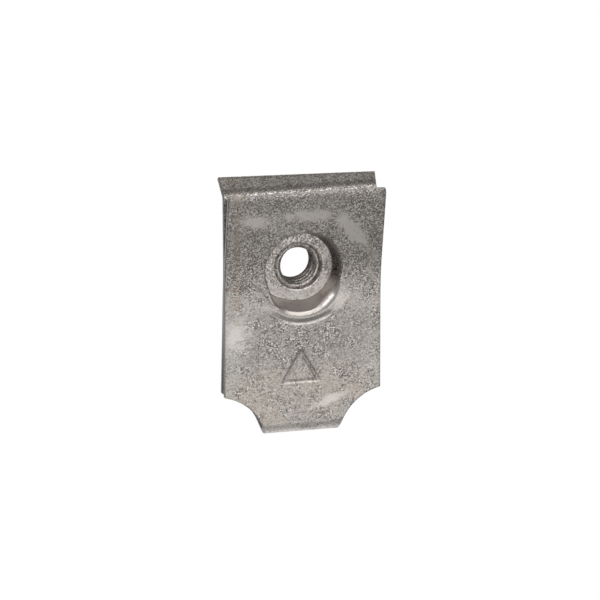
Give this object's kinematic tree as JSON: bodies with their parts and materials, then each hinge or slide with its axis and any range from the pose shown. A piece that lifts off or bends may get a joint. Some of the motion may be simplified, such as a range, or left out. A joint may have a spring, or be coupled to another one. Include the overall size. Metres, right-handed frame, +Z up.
{
  "type": "u clip speed nut",
  "caption": "Spring-steel clip folded into a U, with a drawn cup and a threaded barrel in its front leaf; it slides over a panel's edge and takes a screw.",
  "frame": {"origin": "under the middle of the clip, on the surface that it lies on", "axes": "+X across the strip, +Y from the fold to the open mouth, +Z up, out of the front leaf"},
  "size_m": [0.021, 0.034, 0.0105],
  "materials": {
    "zinc_steel": "zinc plated spring steel, dull, mottled and finely scratched"
  },
  "bodies": {
    "root": {"clip": "zinc_steel"}
  },
  "joints": []
}
